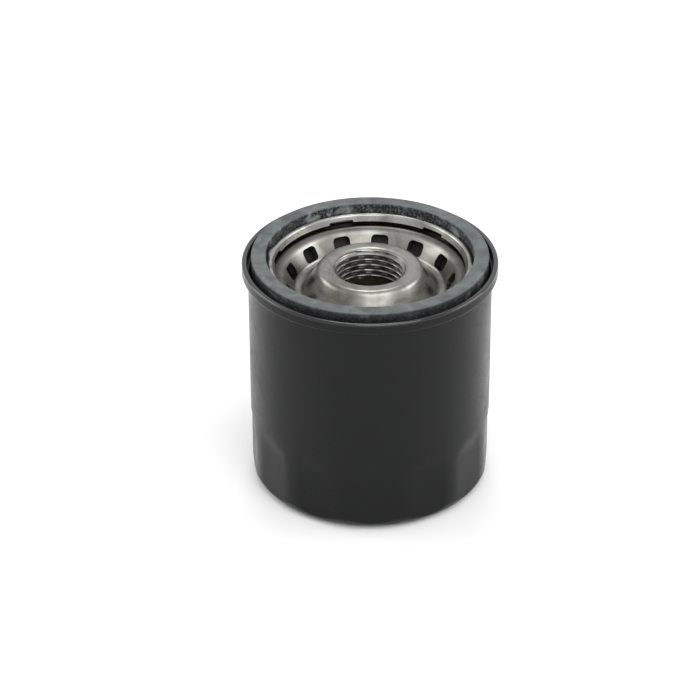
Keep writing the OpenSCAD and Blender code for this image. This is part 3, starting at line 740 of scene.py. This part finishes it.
def bare_steel(name, colour, stain, roughness, ring_mm):
    """Bare pressed steel: satin bright, with faint rings from the draw and warm oil stains."""
    material, tree, shader = new_finish(name, Metallic=1)
    place = add(tree, "ShaderNodeTexCoord").outputs["Object"]
    reach, level = reach_and_level(tree, place)
    ring = add(tree, "ShaderNodeCombineXYZ", {0: reach, 1: level})
    rings = add(tree, "ShaderNodeTexNoise", {"Vector": ring, "Scale": 1000 / ring_mm, "Detail": 3})
    cloud = add(tree, "ShaderNodeTexNoise", {"Vector": place, "Scale": 1000 / 7, "Detail": 6,
                                             "Distortion": 0.6})
    grain = add(tree, "ShaderNodeTexNoise", {"Vector": place, "Scale": 1000 / 0.4, "Detail": 3})
    spread = add(tree, "ShaderNodeMapRange", {0: cloud, 1: 0.42, 2: 0.68, 3: 0.0, 4: 1.0})
    tint = add(tree, "ShaderNodeMix", {0: spread, 6: linear(colour), 7: linear(stain)},
               data_type="RGBA")
    tree.links.new(tint.outputs[2], shader.inputs["Base Color"])
    fine = add(tree, "ShaderNodeMath", {0: grain, 1: 0.6}, operation="MULTIPLY")
    mixed = add(tree, "ShaderNodeMath", {0: rings, 1: fine}, operation="ADD")
    rough = add(tree, "ShaderNodeMapRange", {0: mixed, 1: 0.5, 2: 1.1, 3: roughness - 0.06,
                                             4: roughness + 0.08})
    tree.links.new(rough.outputs[0], shader.inputs["Roughness"])
    skin = add(tree, "ShaderNodeBump", {"Height": mixed, "Strength": 0.08, "Distance": 0.00002})
    tree.links.new(skin.outputs[0], shader.inputs["Normal"])
    return material, tree, shader


# Painted shade: the plate's rim is darkened under the lid's lip, where the lip shades it
plate_steel, tree, shader = bare_steel("pressed cold-rolled steel", "#94938f", "#6d6a64",
                                       roughness=0.31, ring_mm=0.7)
tint_over(tree, shader, by_radius(tree, slope_top - 0.7, slope_top + 1.1), "#4a4744")
plate_path = [(plate_high.x, rim_top), (slope_top, rim_top, 1.2), (slope_foot, channel_z, 1.5),
              (hub_r, channel_z, 1.5), (crown_r, crown_z, 0.4), (bore_r, crown_z, 0.1),
              (bore_r, plate_low.z)]
thread_step, plate_step = 0.11, 0.45
plate_outline = dense(bent_sheet(plate_path, plate_t, above=1),
                      lambda p: thread_step if p.x < bore_r + 0.3 else plate_step)
plate = lathe("base_plate_pressed", plate_outline, steps=208, material=plate_steel)


def punch(group, width, height, corner, depth):
    """A bar with a rounded rectangular section, along Z through the origin."""
    outline = add(group, "GeometryNodeCurvePrimitiveQuadrilateral", {"Width": width, "Height": height})
    outline = add(group, "GeometryNodeFilletCurve", {0: outline, "Count": 6, "Radius": corner},
                  mode="POLY")
    half = add(group, "ShaderNodeMath", {0: depth, 1: 0.5}, operation="MULTIPLY")
    minus_half = add(group, "ShaderNodeMath", {0: depth, 1: -0.5}, operation="MULTIPLY")
    end = add(group, "ShaderNodeCombineXYZ", {2: half})
    start = add(group, "ShaderNodeCombineXYZ", {2: minus_half})
    core = add(group, "GeometryNodeCurvePrimitiveLine", {"Start": start, "End": end})
    return add(group, "GeometryNodeCurveToMesh", {0: core, 1: outline, "Fill Caps": True})


# The thread: a 60 degree groove along a helix is pressed into the bore's wall
group, given = node_group("tapped thread", {"Minor": 0.0, "Depth": 0.0, "Pitch": 0.0, "Root": 0.0})
x, y, z, radius, angle = polar(group)
turn = add(group, "ShaderNodeMath", {0: angle, 1: math.tau}, operation="DIVIDE")
phase = add(group, "ShaderNodeMath", {0: z, 1: given["Pitch"]}, operation="DIVIDE")
phase = add(group, "ShaderNodeMath", {0: phase, 1: turn}, operation="SUBTRACT")
phase = add(group, "ShaderNodeMath", {0: phase}, operation="FRACT")
phase = add(group, "ShaderNodeMath", {0: phase, 1: 0.5}, operation="SUBTRACT")
phase = add(group, "ShaderNodeMath", {0: phase}, operation="ABSOLUTE")
away = add(group, "ShaderNodeMath", {0: phase, 1: given["Pitch"]}, operation="MULTIPLY")
away = add(group, "ShaderNodeMath", {0: away, 1: given["Root"]}, operation="SUBTRACT")
away = add(group, "ShaderNodeMath", {0: away, 1: 0.0}, operation="MAXIMUM")
slope = add(group, "ShaderNodeMath", {0: away, 1: math.sqrt(3)}, operation="MULTIPLY")
groove = add(group, "ShaderNodeMath", {0: given["Depth"], 1: slope}, operation="SUBTRACT")
groove = add(group, "ShaderNodeMath", {0: groove, 1: 0.0}, operation="MAXIMUM")
cut_r = add(group, "ShaderNodeMath", {0: given["Minor"], 1: groove}, operation="ADD")
cut_r = add(group, "ShaderNodeMath", {0: radius, 1: cut_r}, operation="MAXIMUM")
tapped = move_radius(group, given["Geometry"], x, y, z, radius, cut_r)
grow(plate, group, {"Minor": bore_r / 1000, "Depth": thread_depth / 1000,
                    "Pitch": thread_pitch / 1000, "Root": thread_root / 1000}, tapped, plate_steel)

# The windows: square punches, driven through the channel's outer wall at right angles to it
group, given = node_group("window punches", {"Count": 13, "Width": 0.0, "Height": 0.0, "Corner": 0.0,
                                             "Turn": 0.0, "Depth": 0.0})
bar = punch(group, given["Width"], given["Height"], given["Corner"], given["Depth"])
up_wall = window_foot + window_h / 2
middle = Vector((0, slope_foot + up_wall * math.cos(slope_angle),
                 channel_z + up_wall * math.sin(slope_angle)))
tilted = add(group, "GeometryNodeTransform", {0: bar, "Translation": middle / 1000,
                                              "Rotation": (slope_angle, 0, 0)})
bars = around(group, tilted, given["Count"], given["Turn"])
cutters = add(group, "GeometryNodeRealizeInstances", {0: bars})
pierced = add(group, "GeometryNodeMeshBoolean", {0: given["Geometry"], 1: cutters},
              operation="DIFFERENCE", solver="EXACT")
grow(plate, group, {"Count": window_count, "Width": window_w / 1000, "Height": window_h / 1000,
                    "Corner": window_corner / 1000, "Turn": window_turn,
                    "Depth": punch_travel / 1000}, pierced, plate_steel, sharp=40)
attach(plate, "housing")
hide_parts("base_plate")

# ---------------------------------------------------------------------------
# Lid: thin steel, pressed with the gasket's groove and a lip rolled over inwards, spot-welded
# to the base plate. Its edge is rolled into the can's seam over rings of sealing compound.
# ---------------------------------------------------------------------------
lid_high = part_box("seaming_lid")[1] * 1000
gasket_low, gasket_high = [v * 1000 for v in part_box("mounting_gasket")]
lid_t, gasket_w = 0.5, 3.9
groove_z = gasket_low.z
gasket_out, gasket_in = gasket_high.x, gasket_high.x - gasket_w
lip_gap, lip_reach, lip_h, flange_h = 0.2, 2.25, 2.3, 0.7
lip_out, lip_in = gasket_in - lip_gap, gasket_in - lip_reach
lip_top, flange_z = groove_z + lip_h - lid_t / 2, groove_z + flange_h - lid_t / 2
lip_edge_z = groove_z + 0.4

# The hanging inner leg of the lip slants: its lower edge is this much nearer the axis than its top
lean = 0.65
lid_path = [(lip_in + lid_t / 2, lip_edge_z), (lip_in + lid_t / 2 + lean, lip_top, 0.2),
            (lip_out - lid_t / 2, lip_top, 0.3), (lip_out - lid_t / 2, groove_z - lid_t / 2, 0.1),
            (gasket_out + 0.1, groove_z - lid_t / 2, 0.1), (gasket_out + 0.65, flange_z, 0.1),
            (lid_high.x - lid_t / 2, flange_z, 0.05), (lid_high.x - lid_t / 2, lid_high.z)]
lid_steel, tree, shader = bare_steel("bright drawn steel", "#a8a8a4", "#807d77",
                                     roughness=0.3, ring_mm=0.5)

# The can is sprayed after it has been seamed, so the lid is black outside the gasket
outside = by_radius(tree, gasket_out - 0.4, gasket_out)
tint_over(tree, shader, outside, "#0c0d0d")
unpainted = add(tree, "ShaderNodeMath", {0: 1.0, 1: outside}, operation="SUBTRACT")
tree.links.new(unpainted.outputs[0], shader.inputs["Metallic"])
lip_step = 0.25
lid_outline = dense(bent_sheet(lid_path, lid_t), lambda p: lip_step if p.x < gasket_in else plain_step)
lid = lathe("lid_pressed", lid_outline, steps=360, material=lid_steel)
notch_count, notch_turn, notch_half = 6, math.radians(18), math.radians(7.5)
notch_h, notch_round, notch_punch = 0.7, 0.3, 2
notch_w = 2 * (lip_in + lid_t) * math.tan(notch_half)
stake_angles = [math.radians(90 + 79), math.radians(90 - 98.7)]
stake_push, stake_half = 0.9, math.radians(8)


def staked(group, radius, angle, level, low, high):
    """The radius after two tabs of the lip have been staked outwards, more so higher up."""
    push = add(group, "ShaderNodeMapRange", {0: level, 1: low / 1000, 2: high / 1000, 3: 0.0,
                                             4: stake_push / 1000}).outputs[0]
    for stake in stake_angles:
        gap = add(group, "ShaderNodeMath", {0: angle, 1: stake}, operation="SUBTRACT")
        gap = add(group, "ShaderNodeMath", {0: gap, 1: -math.pi, 2: math.pi}, operation="WRAP")
        gap = add(group, "ShaderNodeMath", {0: gap}, operation="ABSOLUTE")
        near = add(group, "ShaderNodeMapRange", {0: gap, 1: 0.0, 2: stake_half, 3: 1.0, 4: 0.0},
                   interpolation_type="SMOOTHSTEP")
        radius = add(group, "ShaderNodeMath", {0: near, 1: push, 2: radius}, operation="MULTIPLY_ADD")
    return radius


group, given = node_group("lip stakes and notches", {"Notches": 6, "Width": 0.0, "Height": 0.0,
                                                     "Turn": 0.0, "Middle": 0.0, "Gasket": 0.0})
x, y, z, radius, angle = polar(group)
outer = add(group, "ShaderNodeMath", {0: radius, 1: given["Middle"]}, operation="GREATER_THAN")
pushed = staked(group, radius, angle, z, low=groove_z + 0.6, high=groove_z + 1.9)
push = add(group, "ShaderNodeMath", {0: pushed, 1: radius}, operation="SUBTRACT")
inner = add(group, "ShaderNodeMath", {0: radius, 1: given["Gasket"]}, operation="LESS_THAN")
on_leg = add(group, "ShaderNodeMath", {0: outer, 1: inner}, operation="MULTIPLY")
new_radius = add(group, "ShaderNodeMath", {0: on_leg, 1: push, 2: radius}, operation="MULTIPLY_ADD")
bent = move_radius(group, given["Geometry"], x, y, z, radius, new_radius)
corner = add(group, "ShaderNodeMath", {0: given["Height"], 1: notch_round}, operation="MULTIPLY")
bar = punch(group, given["Width"], given["Height"], corner, notch_punch / 1000)
spot = Vector((0, lip_in + lid_t / 2, lip_edge_z)) / 1000
standing = add(group, "GeometryNodeTransform", {0: bar, "Translation": spot,
                                                "Rotation": (math.pi / 2, 0, 0)})
cutters = add(group, "GeometryNodeRealizeInstances", {0: around(group, standing, given["Notches"],
                                                                given["Turn"])})
pierced = add(group, "GeometryNodeMeshBoolean", {0: bent, 1: cutters}, operation="DIFFERENCE",
              solver="EXACT")
grow(lid, group, {"Notches": notch_count, "Width": notch_w / 1000, "Height": 2 * notch_h / 1000,
                  "Turn": notch_turn, "Middle": (lip_in + lip_out) / 2000,
                  "Gasket": gasket_in / 1000}, pierced, lid_steel)
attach(lid, "housing")
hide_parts("seaming_lid")

# ---------------------------------------------------------------------------
# Seaming compound: a rubbery solution, sprayed into the curl of the seam and dried to a skin. It
# fills the gaps between the rolled layers and makes the seam tight.
# ---------------------------------------------------------------------------

# Dried compound: dull grey and a little lumpy
compound, tree, shader = new_finish("dried seaming compound", Roughness=0.6)
place = add(tree, "ShaderNodeTexCoord").outputs["Object"]
lumps = add(tree, "ShaderNodeTexNoise", {"Vector": place, "Scale": 1000 / 1.5, "Detail": 3})
shade = add(tree, "ShaderNodeMix", {0: lumps, 6: linear("#77787a"), 7: linear("#8e8f90")},
            data_type="RGBA")
tree.links.new(shade.outputs[2], shader.inputs["Base Color"])
dress("seam_sealant", compound)

# ---------------------------------------------------------------------------
# Mounting gasket: a ring of nitrile rubber, cut from a tube, so its section is square. It stands
# in the lid's groove with talc on it, and two staked tabs of the lip hold it there.
# ---------------------------------------------------------------------------

# Lathe-cut nitrile: charcoal, ground matt on its flat faces, with talc rubbed into its skin, most
# of it on the inner wall, where it lies in streaks and specks; the top face has a painted sheen
gasket_rubber, tree, shader = new_finish("talced lathe-cut nitrile", IOR=1.5, Specular_IOR_Level=0.4)
place = add(tree, "ShaderNodeTexCoord").outputs["Object"]
height = add(tree, "ShaderNodeSeparateXYZ", {0: place}).outputs["Z"]
speck = add(tree, "ShaderNodeTexNoise", {"Vector": place, "Scale": 1000 / 0.55, "Detail": 4,
                                         "Roughness": 0.7})
smear = add(tree, "ShaderNodeTexNoise", {"Vector": place, "Scale": 1000 / 4.5, "Detail": 5,
                                         "Distortion": 0.8})
outer = by_radius(tree, gasket_in + 0.1, gasket_in + 0.45)
inner = add(tree, "ShaderNodeMath", {0: 1.0, 1: outer}, operation="SUBTRACT")
top = add(tree, "ShaderNodeMapRange", {0: height, 1: (gasket_high.z - 0.35) / 1000,
                                       2: (gasket_high.z - 0.02) / 1000, 3: 0.0, 4: 1.0}).outputs[0]
dusty = add(tree, "ShaderNodeMapRange", {0: speck, 1: 0.5, 2: 0.72, 3: 0.0, 4: 1.0}).outputs[0]
wiped = add(tree, "ShaderNodeMapRange", {0: smear, 1: 0.54, 2: 0.72, 3: 0.0, 4: 0.85}).outputs[0]
talc_and_sheen = add(tree, "ShaderNodeMath", {0: dusty, 1: wiped}, operation="MAXIMUM")
talc_and_sheen = add(tree, "ShaderNodeMath", {0: talc_and_sheen, 1: inner}, operation="MULTIPLY")
# Painted sheen: the top face is made lighter, in a mottled film of the talc colour, where it faces the
# lamps
film = add(tree, "ShaderNodeMapRange", {0: smear, 1: 0.3, 2: 0.7, 3: 0.18, 4: 0.5}).outputs[0]
film = add(tree, "ShaderNodeMath", {0: film, 1: top}, operation="MULTIPLY")
talc_and_sheen = add(tree, "ShaderNodeMath", {0: talc_and_sheen, 1: film}, operation="MAXIMUM")
faint = add(tree, "ShaderNodeMath", {0: dusty, 1: wiped}, operation="ADD")
faint = add(tree, "ShaderNodeMath", {0: faint, 1: 0.3}, operation="MULTIPLY")
talc_and_sheen = add(tree, "ShaderNodeMath", {0: talc_and_sheen, 1: faint}, operation="MAXIMUM")
shade = add(tree, "ShaderNodeMix", {0: talc_and_sheen, 6: linear("#1b1d1e"), 7: linear("#838989")},
            data_type="RGBA")
tree.links.new(shade.outputs[2], shader.inputs["Base Color"])
rough = add(tree, "ShaderNodeMapRange", {0: talc_and_sheen, 1: 0.0, 2: 1.0, 3: 0.45, 4: 0.8})
tree.links.new(rough.outputs[0], shader.inputs["Roughness"])
skin = add(tree, "ShaderNodeBump", {"Height": speck, "Strength": 0.5, "Distance": 0.00006})
tree.links.new(skin.outputs[0], shader.inputs["Normal"])

gasket_corner, gasket_step, dent_w = 0.4, 0.3, 2.5
gasket_line = rounded([(gasket_in, groove_z, gasket_corner), (gasket_out, groove_z, gasket_corner),
                       (gasket_out, gasket_high.z, gasket_corner),
                       (gasket_in, gasket_high.z, gasket_corner)], closed=True)
gasket = lathe("gasket_cut", dense(gasket_line, lambda p: gasket_step), steps=360,
               material=gasket_rubber)

# The two stakes have dented its inner wall; the dents fade out into the rubber and towards the top
group, given = node_group("staked gasket", {"Wall": 0.0})
x, y, z, radius, angle = polar(group)
faded = add(group, "ShaderNodeMath", {0: given["Wall"], 1: dent_w / 1000}, operation="ADD")
fade = add(group, "ShaderNodeMapRange", {0: radius, 1: given["Wall"], 2: faded, 3: 1.0, 4: 0.0})
pushed = staked(group, radius, angle, z, low=groove_z, high=groove_z + 1.5)
push = add(group, "ShaderNodeMath", {0: pushed, 1: radius}, operation="SUBTRACT")
fall = add(group, "ShaderNodeMapRange", {0: z, 1: (groove_z + 2.2) / 1000,
                                         2: (gasket_high.z - 0.3) / 1000, 3: 1.0, 4: 0.0})
push = add(group, "ShaderNodeMath", {0: push, 1: fade}, operation="MULTIPLY")
push = add(group, "ShaderNodeMath", {0: push, 1: fall}, operation="MULTIPLY")
new_radius = add(group, "ShaderNodeMath", {0: radius, 1: push}, operation="ADD")
dented = move_radius(group, given["Geometry"], x, y, z, radius, new_radius)
grow(gasket, group, {"Wall": gasket_in / 1000}, dented, gasket_rubber)
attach(gasket, "housing")
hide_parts("mounting_gasket")
